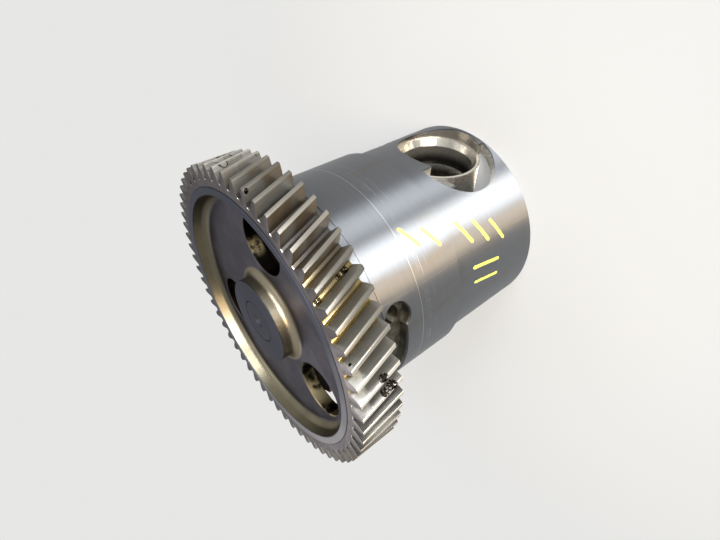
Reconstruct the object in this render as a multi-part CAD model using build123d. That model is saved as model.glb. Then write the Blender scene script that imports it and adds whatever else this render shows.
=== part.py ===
from build123d import *
import math
import os

# Stations along the shaft axis, from the open end of the body up
SKIRT_END_Z = 0.0
WALL_BOTTOM_Z = 47.5
STEP_Z = 63.3
CASE_TOP_Z = 91.6
COLLAR_Z = 114.5
COVER_TOP_Z = 124.2
GEAR_GAP = 1.8
GEAR_BACK_Z = COVER_TOP_Z + GEAR_GAP
GEAR_WIDTH = 22.5
GEAR_FRONT_Z = GEAR_BACK_Z + GEAR_WIDTH

# Body
BODY_R = 61.0
SEAM_DEG = 53.0
SKIRT_R = 58.6
SKIRT_WALL = 6.5
COLLAR_STEP = 0.6
EDGE_CHAMFER = 0.6
CUT_OVER = 8.0
INNER_FILLET = 3.0

# Helical gear
TEETH = 60
TIP_R = 82.3
ROOT_R = 75.0
HELIX_TWIST_DEG = 5.8
TOOTH_PHASE_DEG = 1.03
TIP_HALF_DEG = 0.62
SHOULDER_HALF_DEG = 0.8
FLANK_HALF_DEG = 1.48
FOOT_HALF_DEG = 2.05
ROOT_HALF_DEG = 2.4
SHOULDER_DROP = 0.4
FLANK_DROP = 3.4
FOOT_RISE = 1.1
RING_OUT_R = 71.5
RING_IN_R = 67.8
RING_PROUD = 0.5
RIM_CHAMFER = 0.3
DISH_DEPTH = 7.6
DISH_FILLET = 4.5
DISH_DRAFT = 1.6
WEB_THICK = 7.6
BACK_RIM_R = 67.0
BACK_FILLET = 3.0
HUB_R = 23.0
HUB_PROUD = 0.5
HUB_BACK_R = 21.0
HUB_BACK_GAP = 0.3
HUB_FILLET = 4.0
WEB_HOLES = 3
WEB_HOLE_R = 15.3
WEB_HOLE_CHAMFER = 0.6
WEB_HOLE_PCR = 45.8
WEB_HOLE_PHASE_DEG = 0.0

# Shafts and bushes
SHAFT_R = 11.6
JOURNAL_R = 9.5
CENTRE_R = 2.2
CENTRE_CONE_R = 3.2
CENTRE_DEPTH = 9.0
RUN_FIT = 0.05
BUSH_WALL = 3.0
FRONT_BUSH_DROP = 0.6
SHAFT_TAIL_Z = 49.0
IDLER_R = 8.0
IDLER_BUSH_WALL = 2.0
IDLER_SEAT = 12.0
WASHER_T = 1.0
WASHER_R = 19.0

# Pumping gears
PUMP_TEETH = 10
PUMP_MODULE = 3.5
PUMP_PRESSURE_DEG = 28.0
PUMP_BACKLASH = 0.30
PUMP_ADDENDUM = 1.0
PUMP_DEDENDUM = 1.2
PUMP_TIP_GAP = 0.10
PUMP_SIDE_GAP = 0.08
KEY_W = 4.0
KEY_H = 4.0
KEY_L = 18.0
KEY_DEPTH = 2.2
KEY_TOP_GAP = 0.1

# Round port in the skirt
PORT_Z = 24.5
PORT_MOUTH_R = 23.0
PORT_BORE_R = 20.5
PORT_LEDGE_X = 51.0
PORT_LEAD_R = 22.0
PORT_LEAD_DEPTH = 4.0
PORT_BORE_END_X = 36.0
PORT_CAST_R = 19.5
PORT_BOSS_R = 23.8
CHAMBER_R = 25.5
CHAMBER_WALL = 3.5
CHAMBER_FLOOR_Z = 1.5
CHAMBER_FLOOR = 3.5
HAUNCH_Z = 40.0
HAUNCH_Y = 28.5
HAUNCH_X = 34.0
HAUNCH_ROOT = 3.0

# Cast window beside the port
WINDOW_R = 24.7
WINDOW_DEG = -11.6
WINDOW_Z = 26.2
WINDOW_SIDE_Y = -12.6

# Locating hole in the skirt
LOCATE_R = 7.5
LOCATE_DEG = 37.0
LOCATE_Z = 37.5
LOCATE_OVER = 3.0

# Oil ways
FEED_DEG = -69.5
FEED_Z = 106.7
FEED_R = 4.8
FEED_MOUTH_R = 8.2
RECESS_DEPTH = 6.0
RECESS_FROM_DEG = -71.0
RECESS_TO_DEG = -125.0
RECESS_BOTTOM_Z = 101.8
RECESS_TOP_Z = 118.0
OUTLET_DEG = -108.0
OUTLET_Z = 109.0
OUTLET_R = 6.0
POCKET_IN_R = 18.5
POCKET_OUT_R = 31.0
POCKET_TOP_Z = 113.0
POCKET_FROM_DEG = -22.0
POCKET_TO_DEG = -150.0
KIDNEY_R = 4.8
KIDNEY_Y = 11.0

# Bolts and dowels
BOLT_R = 4.0
BOLT_HOLE_GAP = 0.25
BOLT_PCR = 49.0
BOLT_DEGS = (38.0, 98.0, 158.0, -148.0, -88.0, -38.0)
BOLT_HEAD_R = 7.4
BOLT_HEAD_H = 5.2
BOLT_FLANGE_R = 8.2
BOLT_FLANGE_H = 1.4
BOLT_GRIP = 10.0
BOLT_END_ROOM = 1.5
DOWEL_R = 3.0
DOWEL_PCR = 50.0
DOWEL_DEGS = (68.0, -172.0)
DOWEL_REACH = 9.0
DOWEL_END_ROOM = 0.5

# Relief valve
RELIEF_DEG = -75.0
RELIEF_PCR = 38.5
RELIEF_BORE_R = 6.5
RELIEF_WALL = 4.0
RELIEF_BOSS_Z = 10.0
RELIEF_SEAT_Z = 52.0
RELIEF_INLET_R = 4.0
RELIEF_STROKE = 8.0
RELIEF_FIT = 0.05
PLUNGER_L = 13.6
PLUNGER_GAP = 0.1
PLUNGER_CUP_R = 5.4
PLUNGER_CROWN = 3.4
CIRCLIP_Z = 12.6
CIRCLIP_T = 1.2
CIRCLIP_GROOVE = 0.9
CIRCLIP_IN_R = 4.6
CIRCLIP_GAP_L = 4.0
CIRCLIP_GAP_W = 3.0
PLUG_T = 3.6
PLUG_VENT_R = 2.0
SPRING_R = 4.3
SPRING_WIRE_R = 0.65
SPRING_TURNS = 7
SPRING_END_GAP = 0.01
SPILL_R = 3.0
SPILL_DROP = 4.6
GROOVE_DEPTH = 4.0
GROOVE_R = 4.0

# Sizes that follow from those above
WEB_FRONT_Z = GEAR_FRONT_Z - DISH_DEPTH
WEB_BACK_Z = WEB_FRONT_Z - WEB_THICK
HUB_FACE_Z = GEAR_FRONT_Z + HUB_PROUD
COLLAR_R = BODY_R - COLLAR_STEP
HUB_BACK_Z = COVER_TOP_Z + WASHER_T + HUB_BACK_GAP
SKIRT_IN_R = SKIRT_R - SKIRT_WALL
FRONT_BUSH_R = SHAFT_R + RUN_FIT + BUSH_WALL
REAR_BUSH_R = JOURNAL_R + RUN_FIT + BUSH_WALL
PUMP_PITCH_R = PUMP_MODULE * PUMP_TEETH / 2
PUMP_TIP_R = PUMP_PITCH_R + PUMP_MODULE * PUMP_ADDENDUM
PUMP_ROOT_R = PUMP_PITCH_R - PUMP_MODULE * PUMP_DEDENDUM
PUMP_BORE_R = PUMP_TIP_R + PUMP_TIP_GAP
CENTRES = 2 * PUMP_PITCH_R
PUMP_BOTTOM_Z = STEP_Z + PUMP_SIDE_GAP
PUMP_HEIGHT = CASE_TOP_Z - STEP_Z - 2 * PUMP_SIDE_GAP
BOLT_BOTTOM_Z = STEP_Z - BOLT_GRIP
PLUNGER_TOP_Z = RELIEF_SEAT_Z - PLUNGER_GAP
PLUNGER_BOTTOM_Z = PLUNGER_TOP_Z - PLUNGER_L
CUP_TOP_Z = PLUNGER_TOP_Z - PLUNGER_CROWN
PLUG_BOTTOM_Z = CIRCLIP_Z + CIRCLIP_T
PLUG_TOP_Z = PLUG_BOTTOM_Z + PLUG_T


def polar(radius, degrees):
    angle = math.radians(degrees)
    return (radius * math.cos(angle), radius * math.sin(angle))


def rod(radius, bottom, top, x=0.0, y=0.0):
    solid = Cylinder(radius, top - bottom, align=(Align.CENTER, Align.CENTER, Align.MIN))
    return Pos(x, y, bottom) * solid


def ring(outer, inner, bottom, top, x=0.0, y=0.0):
    return rod(outer, bottom, top, x, y) - rod(inner, bottom - 1, top + 1, x, y)


def radial_rod(radius, start, end, degrees, z):
    solid = Cylinder(radius, end - start, align=(Align.CENTER, Align.CENTER, Align.MIN))
    return Pos(0, 0, z) * Rot(0, 0, degrees) * Rot(0, 90, 0) * Pos(0, 0, start) * solid


def block(x_range, y_range, z_range):
    size = [high - low for low, high in (x_range, y_range, z_range)]
    centre = [(high + low) / 2 for low, high in (x_range, y_range, z_range)]
    return Pos(*centre) * Box(*size)


# A turned skin's seam lies clear of the holes that are cut in it
def turned(points, seam=0.0):
    face = make_face(Plane.XZ * Polyline(*points, close=True))
    return revolve(Rot(0, 0, seam) * face, Axis.Z, 360)


def sector(outer, inner, start, end, bottom, top):
    steps = max(2, int(abs(end - start) / 15) + 1)
    angles = [start + (end - start) * step / steps for step in range(steps + 1)]
    far = outer / math.cos(math.radians(abs(end - start) / steps / 2)) + 1
    wedge = [(0.0, 0.0)] + [polar(far, angle) for angle in angles]
    shape = Pos(0, 0, bottom) * extrude(make_face(Polyline(*wedge, close=True)), top - bottom)
    return ring(outer, inner, bottom, top) & shape


def edges_on(solid, radius, z):
    found = []
    for edge in solid.edges().filter_by(GeomType.CIRCLE):
        centre = edge.arc_center
        near_axis = math.hypot(centre.X, centre.Y) < 0.01
        if near_axis and abs(edge.radius - radius) < 0.01 and abs(centre.Z - z) < 0.01:
            found.append(edge)
    return found


# Helical gear
def tooth_outline(index):
    centre = index * 360 / TEETH
    low = [
        (ROOT_R, ROOT_HALF_DEG),
        (ROOT_R + FOOT_RISE, FOOT_HALF_DEG),
        (TIP_R - FLANK_DROP, FLANK_HALF_DEG),
        (TIP_R - SHOULDER_DROP, SHOULDER_HALF_DEG),
        (TIP_R, TIP_HALF_DEG),
    ]
    rising = [polar(radius, centre - half) for radius, half in low]
    falling = [polar(radius, centre + half) for radius, half in reversed(low)]
    return rising + falling


def toothed_rim():
    front = Pos(0, 0, GEAR_FRONT_Z) * Rot(0, 0, TOOTH_PHASE_DEG)
    back = Pos(0, 0, GEAR_BACK_Z) * Rot(0, 0, TOOTH_PHASE_DEG + HELIX_TWIST_DEG)
    edge = Polyline(*tooth_outline(0), tooth_outline(1)[0])
    skin = Shell.make_loft([(back * edge).wire(), (front * edge).wire()], ruled=True)
    points = []
    faces = []
    for index in range(TEETH):
        points += tooth_outline(index)
        faces += (Rot(0, 0, index * 360 / TEETH) * skin).faces()
    outline = make_face(Polyline(*points, close=True))
    faces += (front * outline).faces() + (back * outline).faces()
    return Solid(Shell(faces))


def gear_blank_cut():
    front = turned([
        (HUB_R, WEB_FRONT_Z),
        (RING_IN_R - DISH_DRAFT, WEB_FRONT_Z),
        (RING_IN_R, GEAR_FRONT_Z + 1),
        (HUB_R, GEAR_FRONT_Z + 1),
    ])
    back = turned([
        (HUB_BACK_R, GEAR_BACK_Z - 1),
        (BACK_RIM_R, GEAR_BACK_Z - 1),
        (BACK_RIM_R, WEB_BACK_Z),
        (HUB_BACK_R, WEB_BACK_Z),
    ])
    front = fillet(edges_on(front, RING_IN_R - DISH_DRAFT, WEB_FRONT_Z), DISH_FILLET)
    front = fillet(edges_on(front, HUB_R, WEB_FRONT_Z), HUB_FILLET)
    back = fillet(edges_on(back, BACK_RIM_R, WEB_BACK_Z), BACK_FILLET)
    return front + back


def proud_ring():
    top = GEAR_FRONT_Z + RING_PROUD
    return turned([
        (RING_IN_R, GEAR_FRONT_Z - 1),
        (RING_OUT_R, GEAR_FRONT_Z - 1),
        (RING_OUT_R, top - RIM_CHAMFER),
        (RING_OUT_R - RIM_CHAMFER, top),
        (RING_IN_R + RIM_CHAMFER, top),
        (RING_IN_R, top - RIM_CHAMFER),
    ])


def hub_front():
    return turned([
        (SHAFT_R, GEAR_FRONT_Z - 1),
        (HUB_R, GEAR_FRONT_Z - 1),
        (HUB_R, HUB_FACE_Z - RIM_CHAMFER),
        (HUB_R - RIM_CHAMFER, HUB_FACE_Z),
        (SHAFT_R, HUB_FACE_Z),
    ])


def web_hole():
    return turned([
        (0, WEB_BACK_Z - 1),
        (WEB_HOLE_R + WEB_HOLE_CHAMFER + 1, WEB_BACK_Z - 1),
        (WEB_HOLE_R, WEB_BACK_Z + WEB_HOLE_CHAMFER),
        (WEB_HOLE_R, WEB_FRONT_Z - WEB_HOLE_CHAMFER),
        (WEB_HOLE_R + WEB_HOLE_CHAMFER + 1, WEB_FRONT_Z + 1),
        (0, WEB_FRONT_Z + 1),
    ])


def drive_gear():
    gear = toothed_rim() - gear_blank_cut()
    gear += proud_ring()
    gear += hub_front()
    gear += ring(HUB_BACK_R, SHAFT_R, HUB_BACK_Z, GEAR_BACK_Z + 1)
    for index in range(WEB_HOLES):
        x, y = polar(WEB_HOLE_PCR, WEB_HOLE_PHASE_DEG + index * 360 / WEB_HOLES)
        gear -= Pos(x, y, 0) * web_hole()
    return gear - rod(SHAFT_R, HUB_BACK_Z - 1, HUB_FACE_Z + 1)


# Drive shaft
def key_block(bottom, top, gap=0.0):
    low_x = JOURNAL_R - KEY_DEPTH
    return block((low_x, low_x + KEY_H + gap), (-KEY_W / 2, KEY_W / 2), (bottom, top))


def key_span():
    middle = (STEP_Z + CASE_TOP_Z) / 2
    return middle - KEY_L / 2, middle + KEY_L / 2


def drive_shaft():
    shaft = turned([
        (0, SHAFT_TAIL_Z),
        (JOURNAL_R - EDGE_CHAMFER, SHAFT_TAIL_Z),
        (JOURNAL_R, SHAFT_TAIL_Z + EDGE_CHAMFER),
        (JOURNAL_R, CASE_TOP_Z + FRONT_BUSH_DROP),
        (SHAFT_R, CASE_TOP_Z + FRONT_BUSH_DROP),
        (SHAFT_R, HUB_FACE_Z - EDGE_CHAMFER / 2),
        (SHAFT_R - EDGE_CHAMFER / 2, HUB_FACE_Z),
        (CENTRE_CONE_R, HUB_FACE_Z),
        (CENTRE_R, HUB_FACE_Z - (CENTRE_CONE_R - CENTRE_R) * 1.7),
        (CENTRE_R, HUB_FACE_Z - CENTRE_DEPTH),
        (0, HUB_FACE_Z - CENTRE_DEPTH - CENTRE_R * 0.6),
    ])
    return shaft - key_block(*key_span())


def drive_key():
    return key_block(*key_span())


# Pumping gears
def involute_point(base, radius):
    roll = math.sqrt(max(0.0, (radius / base) ** 2 - 1))
    return roll - math.atan(roll)


def pump_flank():
    base = PUMP_PITCH_R * math.cos(math.radians(PUMP_PRESSURE_DEG))
    pressure = math.radians(PUMP_PRESSURE_DEG)
    at_pitch = math.tan(pressure) - pressure
    half_pitch = math.pi / 2 / PUMP_TEETH - PUMP_BACKLASH / 2 / (2 * PUMP_PITCH_R)
    steps = 4
    flank = [(PUMP_ROOT_R, half_pitch + at_pitch + 0.035)]
    flank.append((PUMP_ROOT_R + 0.7, half_pitch + at_pitch))
    for step in range(steps + 1):
        radius = base + (PUMP_TIP_R - base) * step / steps
        flank.append((radius, half_pitch + at_pitch - involute_point(base, radius)))
    return flank


def pump_gear(phase_deg, bore_r):
    flank = pump_flank()
    points = []
    for index in range(PUMP_TEETH):
        centre = phase_deg + index * 360 / PUMP_TEETH
        points += [polar(radius, centre - math.degrees(half)) for radius, half in flank]
        points += [polar(radius, centre + math.degrees(half)) for radius, half in reversed(flank)]
    outline = make_face(Polyline(*points, close=True)) - Circle(bore_r)
    return Pos(0, 0, PUMP_BOTTOM_Z) * extrude(outline, PUMP_HEIGHT)


def pump_drive_gear():
    gear = pump_gear(0.0, JOURNAL_R)
    return gear - key_block(PUMP_BOTTOM_Z - 1, CASE_TOP_Z, KEY_TOP_GAP)


def pump_driven_gear():
    gear = pump_gear(180.0 + 180.0 / PUMP_TEETH, IDLER_R + RUN_FIT + IDLER_BUSH_WALL)
    return Pos(CENTRES, 0, 0) * gear


def driven_gear_bush():
    outer = IDLER_R + RUN_FIT + IDLER_BUSH_WALL
    return ring(outer, IDLER_R + RUN_FIT, PUMP_BOTTOM_Z, PUMP_BOTTOM_Z + PUMP_HEIGHT, CENTRES)


def idler_shaft():
    shaft = rod(IDLER_R, STEP_Z - IDLER_SEAT, CASE_TOP_Z + IDLER_SEAT, CENTRES)
    return chamfer(shaft.edges().filter_by(GeomType.CIRCLE), EDGE_CHAMFER)


# Gear case
def bolt_holes(bottom, top, radius):
    holes = None
    for degrees in BOLT_DEGS:
        hole = rod(radius, bottom, top, *polar(BOLT_PCR, degrees))
        holes = hole if holes is None else holes + hole
    return holes


def dowel_holes(bottom, top):
    holes = None
    for degrees in DOWEL_DEGS:
        hole = rod(DOWEL_R, bottom, top, *polar(DOWEL_PCR, degrees))
        holes = hole if holes is None else holes + hole
    return holes


def gear_case():
    case = rod(BODY_R, STEP_Z, CASE_TOP_Z)
    case = chamfer(edges_on(case, BODY_R, STEP_Z), EDGE_CHAMFER)
    case -= rod(PUMP_BORE_R, STEP_Z - 1, CASE_TOP_Z + 1)
    case -= rod(PUMP_BORE_R, STEP_Z - 1, CASE_TOP_Z + 1, CENTRES)
    case -= bolt_holes(STEP_Z - 1, CASE_TOP_Z + 1, BOLT_R + BOLT_HOLE_GAP)
    return case - dowel_holes(STEP_Z - 1, CASE_TOP_Z + 1)


# Front cover
def cover_body():
    profile = [
        (0, CASE_TOP_Z),
        (BODY_R, CASE_TOP_Z),
        (BODY_R, COLLAR_Z),
        (COLLAR_R, COLLAR_Z),
        (COLLAR_R, COVER_TOP_Z - EDGE_CHAMFER),
        (COLLAR_R - EDGE_CHAMFER, COVER_TOP_Z),
        (0, COVER_TOP_Z),
    ]
    return turned(profile, SEAM_DEG)


def cover_oil_ways():
    floor = BODY_R - RECESS_DEPTH
    ways = sector(BODY_R + 1, floor, RECESS_FROM_DEG, RECESS_TO_DEG, RECESS_BOTTOM_Z, RECESS_TOP_Z)
    ways += sector(POCKET_OUT_R, POCKET_IN_R, POCKET_FROM_DEG, POCKET_TO_DEG, CASE_TOP_Z - 1, POCKET_TOP_Z)
    inside = (POCKET_IN_R + POCKET_OUT_R) / 2
    ways += radial_rod(FEED_R, inside, BODY_R + 1, FEED_DEG, FEED_Z)
    ways += radial_rod(FEED_MOUTH_R, floor, BODY_R + 1, FEED_DEG, FEED_Z)
    return ways + radial_rod(OUTLET_R, inside, BODY_R + 1, OUTLET_DEG, OUTLET_Z)


def front_cover():
    cover = cover_body() - cover_oil_ways()
    cover -= rod(FRONT_BUSH_R, CASE_TOP_Z - 1, COVER_TOP_Z + 1)
    cover -= rod(IDLER_R, CASE_TOP_Z - 1, CASE_TOP_Z + IDLER_SEAT + 1, CENTRES)
    cover -= bolt_holes(CASE_TOP_Z - 1, COVER_TOP_Z + 1, BOLT_R + BOLT_HOLE_GAP)
    return cover - dowel_holes(CASE_TOP_Z - 1, CASE_TOP_Z + DOWEL_REACH + DOWEL_END_ROOM)


# Rear housing
def skirt():
    profile = [
        (SKIRT_IN_R, SKIRT_END_Z),
        (SKIRT_R - EDGE_CHAMFER, SKIRT_END_Z),
        (SKIRT_R, SKIRT_END_Z + EDGE_CHAMFER),
        (SKIRT_R, STEP_Z),
        (0, STEP_Z),
        (0, WALL_BOTTOM_Z),
        (SKIRT_IN_R, WALL_BOTTOM_Z),
    ]
    shell = turned(profile, SEAM_DEG)
    return fillet(edges_on(shell, SKIRT_IN_R, WALL_BOTTOM_Z), INNER_FILLET)


def window_cut():
    cutter = radial_rod(WINDOW_R, SKIRT_IN_R - CUT_OVER, SKIRT_R + CUT_OVER, WINDOW_DEG, WINDOW_Z)
    return cutter & block((0, 2 * SKIRT_R), (-2 * SKIRT_R, WINDOW_SIDE_Y), (-SKIRT_R, 2 * SKIRT_R))


def port_boss():
    boss = radial_rod(PORT_BOSS_R, 0, PORT_LEDGE_X, 0, PORT_Z)
    collar = radial_rod(PORT_BOSS_R, PORT_LEDGE_X - 1, SKIRT_R, 0, PORT_Z)
    collar &= block((0, 2 * SKIRT_R), (WINDOW_SIDE_Y, 2 * SKIRT_R), (-SKIRT_R, 2 * SKIRT_R))
    haunch = block((HAUNCH_X, PORT_LEDGE_X), (-HAUNCH_Y, 0), (HAUNCH_Z, WALL_BOTTOM_Z + HAUNCH_ROOT))
    return (boss + collar + haunch) & rod(SKIRT_R, SKIRT_END_Z, STEP_Z)


def chamber():
    outer = rod(CHAMBER_R + CHAMBER_WALL, CHAMBER_FLOOR_Z, WALL_BOTTOM_Z + 1)
    return fillet(edges_on(outer, CHAMBER_R + CHAMBER_WALL, CHAMBER_FLOOR_Z), INNER_FILLET)


def port_bores():
    bores = radial_rod(PORT_MOUTH_R, PORT_LEDGE_X, SKIRT_R + CUT_OVER, 0, PORT_Z)
    bores += radial_rod(PORT_BORE_R, PORT_BORE_END_X, SKIRT_R, 0, PORT_Z)
    bores += radial_rod(PORT_CAST_R, 0, SKIRT_R, 0, PORT_Z)
    cone = Cone(PORT_BORE_R, PORT_LEAD_R, PORT_LEAD_DEPTH)
    middle = PORT_LEDGE_X - PORT_LEAD_DEPTH / 2
    bores += Pos(middle, 0, PORT_Z) * Rot(0, 90, 0) * cone
    return bores + rod(CHAMBER_R, CHAMBER_FLOOR_Z + CHAMBER_FLOOR, WALL_BOTTOM_Z)


def relief_centre():
    return polar(RELIEF_PCR, RELIEF_DEG)


def relief_boss():
    return rod(RELIEF_BORE_R + RELIEF_WALL, RELIEF_BOSS_Z, WALL_BOTTOM_Z + 1, *relief_centre())


def relief_bores():
    x, y = relief_centre()
    bores = rod(RELIEF_BORE_R, RELIEF_BOSS_Z - 1, RELIEF_SEAT_Z, x, y)
    bores += rod(RELIEF_INLET_R, RELIEF_SEAT_Z - 1, STEP_Z + 1, x, y)
    groove_r = RELIEF_BORE_R + CIRCLIP_GROOVE
    bores += rod(groove_r, CIRCLIP_Z, CIRCLIP_Z + CIRCLIP_T, x, y)
    spill_z = RELIEF_SEAT_Z - SPILL_DROP - SPILL_R
    return bores + radial_rod(SPILL_R, CHAMBER_R - 2, RELIEF_PCR, RELIEF_DEG, spill_z)


def relief_groove():
    x, y = relief_centre()
    start = (PUMP_PITCH_R, -KIDNEY_Y)
    length = math.hypot(x - start[0], y - start[1])
    turn = math.degrees(math.atan2(y - start[1], x - start[0]))
    slot = Pos((x + start[0]) / 2, (y + start[1]) / 2, STEP_Z - GROOVE_DEPTH) * Rot(0, 0, turn)
    return slot * extrude(SlotCenterToCenter(length, 2 * GROOVE_R), GROOVE_DEPTH + 1)


def rear_housing():
    mouth = radial_rod(PORT_MOUTH_R, PORT_LEDGE_X, SKIRT_R + CUT_OVER, 0, PORT_Z)
    body = skirt() - window_cut() - mouth
    body += port_boss() + chamber() + relief_boss()
    body -= port_bores()
    body -= relief_bores()
    body -= relief_groove()
    body -= rod(KIDNEY_R, WALL_BOTTOM_Z - 1, STEP_Z + 1, PUMP_PITCH_R, KIDNEY_Y)
    body -= rod(REAR_BUSH_R, WALL_BOTTOM_Z - 1, STEP_Z + 1)
    body -= rod(IDLER_R, STEP_Z - IDLER_SEAT, STEP_Z + 1, CENTRES)
    locate = radial_rod(LOCATE_R, SKIRT_IN_R - LOCATE_OVER, SKIRT_R + LOCATE_OVER, LOCATE_DEG, LOCATE_Z)
    body -= locate
    body -= bolt_holes(BOLT_BOTTOM_Z - BOLT_END_ROOM, STEP_Z + 1, BOLT_R)
    return body - dowel_holes(STEP_Z - DOWEL_REACH - DOWEL_END_ROOM, STEP_Z + 1)


# Bushes and washer
def front_bush():
    return ring(FRONT_BUSH_R, SHAFT_R + RUN_FIT, CASE_TOP_Z + FRONT_BUSH_DROP, COVER_TOP_Z)


def rear_bush():
    return ring(REAR_BUSH_R, JOURNAL_R + RUN_FIT, WALL_BOTTOM_Z, STEP_Z)


def thrust_washer():
    return ring(WASHER_R, SHAFT_R + 2 * RUN_FIT, COVER_TOP_Z, COVER_TOP_Z + WASHER_T)


# Fasteners
def case_bolt(x, y):
    head_z = COVER_TOP_Z + BOLT_FLANGE_H
    hexagon = RegularPolygon(BOLT_HEAD_R, 6)
    bolt = rod(BOLT_R, BOLT_BOTTOM_Z, COVER_TOP_Z + 1, x, y)
    bolt += rod(BOLT_FLANGE_R, COVER_TOP_Z, head_z, x, y)
    return bolt + Pos(x, y, head_z) * extrude(hexagon, BOLT_HEAD_H - BOLT_FLANGE_H)


def case_bolts():
    return Compound([case_bolt(*polar(BOLT_PCR, degrees)) for degrees in BOLT_DEGS])


def dowel_pins():
    pins = []
    for degrees in DOWEL_DEGS:
        x, y = polar(DOWEL_PCR, degrees)
        pin = rod(DOWEL_R, STEP_Z - DOWEL_REACH, CASE_TOP_Z + DOWEL_REACH, x, y)
        pins.append(chamfer(pin.edges().filter_by(GeomType.CIRCLE), EDGE_CHAMFER / 2))
    return Compound(pins)


# Relief valve pieces
def relief_plunger():
    x, y = relief_centre()
    body = rod(RELIEF_BORE_R - RELIEF_FIT, PLUNGER_BOTTOM_Z, PLUNGER_TOP_Z, x, y)
    body = chamfer(body.edges().filter_by(GeomType.CIRCLE).sort_by(Axis.Z)[-1], EDGE_CHAMFER)
    return body - rod(PLUNGER_CUP_R, PLUNGER_BOTTOM_Z - 1, CUP_TOP_Z, x, y)


def relief_spring():
    x, y = relief_centre()
    height = CUP_TOP_Z - PLUG_TOP_Z - 2 * SPRING_WIRE_R - 2 * SPRING_END_GAP
    path = Helix(height / SPRING_TURNS, height, SPRING_R)
    start = path @ 0
    section = Plane(origin=start, z_dir=path % 0) * Circle(SPRING_WIRE_R)
    coil = sweep(section, path=path)
    return Pos(x, y, PLUG_TOP_Z + SPRING_WIRE_R + SPRING_END_GAP) * coil


def relief_plug():
    x, y = relief_centre()
    return ring(RELIEF_BORE_R, PLUG_VENT_R, PLUG_BOTTOM_Z, PLUG_TOP_Z, x, y)


def relief_circlip():
    x, y = relief_centre()
    clip = ring(RELIEF_BORE_R + CIRCLIP_GROOVE, CIRCLIP_IN_R, CIRCLIP_Z, CIRCLIP_Z + CIRCLIP_T, x, y)
    gap = Box(CIRCLIP_GAP_L, CIRCLIP_GAP_W, CIRCLIP_GAP_L)
    return clip - Pos(x - RELIEF_BORE_R, y, CIRCLIP_Z) * gap


PIECES = {
    "drive_gear": drive_gear,
    "drive_shaft": drive_shaft,
    "drive_key": drive_key,
    "pump_drive_gear": pump_drive_gear,
    "pump_driven_gear": pump_driven_gear,
    "driven_gear_bush": driven_gear_bush,
    "idler_shaft": idler_shaft,
    "gear_case": gear_case,
    "front_cover": front_cover,
    "rear_housing": rear_housing,
    "front_bush": front_bush,
    "rear_bush": rear_bush,
    "thrust_washer": thrust_washer,
    "case_bolts": case_bolts,
    "dowel_pins": dowel_pins,
    "relief_plunger": relief_plunger,
    "relief_spring": relief_spring,
    "relief_plug": relief_plug,
    "relief_circlip": relief_circlip,
}


def main():
    os.makedirs("parts", exist_ok=True)
    for name, build in PIECES.items():
        export_step(build(), "parts/" + name + ".step")


main()
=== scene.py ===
"""Looks of an oil pump: its finishes, fine gear teeth, oil and grime, painted light and shade, the studio and
the camera.
"""

import logging
import math
from dataclasses import dataclass, field
from enum import Enum

import bmesh
import bpy
from mathutils import Matrix, Vector


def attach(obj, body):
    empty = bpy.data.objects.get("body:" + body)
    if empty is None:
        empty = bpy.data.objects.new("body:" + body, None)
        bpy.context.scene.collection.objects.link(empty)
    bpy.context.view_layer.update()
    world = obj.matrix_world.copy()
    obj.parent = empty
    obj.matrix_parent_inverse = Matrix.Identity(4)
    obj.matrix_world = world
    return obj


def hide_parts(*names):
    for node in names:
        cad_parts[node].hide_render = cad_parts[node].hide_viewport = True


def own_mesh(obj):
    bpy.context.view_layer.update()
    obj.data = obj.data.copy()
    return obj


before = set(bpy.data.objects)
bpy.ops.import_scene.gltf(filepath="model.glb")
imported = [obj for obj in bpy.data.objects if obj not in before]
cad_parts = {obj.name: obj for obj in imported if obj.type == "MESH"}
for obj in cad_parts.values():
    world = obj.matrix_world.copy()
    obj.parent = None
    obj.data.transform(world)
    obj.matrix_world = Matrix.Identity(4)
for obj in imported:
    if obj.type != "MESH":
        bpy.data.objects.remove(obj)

log = logging.getLogger("oil_pump")
MM = 0.001

Colour = tuple[float, float, float]
Point = tuple[float, float, float]
Span = tuple[float, float]
Levels = tuple[Span, ...]
Socket = bpy.types.NodeSocket

BLACK: Colour = (0.0, 0.0, 0.0)
WHITE: Colour = (1.0, 1.0, 1.0)
LINE_ROUGHNESS = 0.7
PATCH_ROUGHNESS = 0.6
QUARTER_TURN = 0.25


class Part(Enum):
    """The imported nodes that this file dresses."""

    GEAR = "drive_gear"
    SHAFT = "drive_shaft"
    KEY = "drive_key"
    PUMP_DRIVE = "pump_drive_gear"
    PUMP_DRIVEN = "pump_driven_gear"
    DRIVEN_BUSH = "driven_gear_bush"
    IDLER = "idler_shaft"
    CASE = "gear_case"
    COVER = "front_cover"
    HOUSING = "rear_housing"
    FRONT_BUSH = "front_bush"
    REAR_BUSH = "rear_bush"
    WASHER = "thrust_washer"
    BOLTS = "case_bolts"
    DOWELS = "dowel_pins"
    PLUNGER = "relief_plunger"
    SPRING = "relief_spring"
    PLUG = "relief_plug"
    CIRCLIP = "relief_circlip"


@dataclass(frozen=True)
class Patches:
    """Soft random patches: how many for each millimetre, and the noise where one begins and is full."""

    scale: float
    low: float
    high: float
    seed: float = 0.0
    detail: float = 4.0


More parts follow.
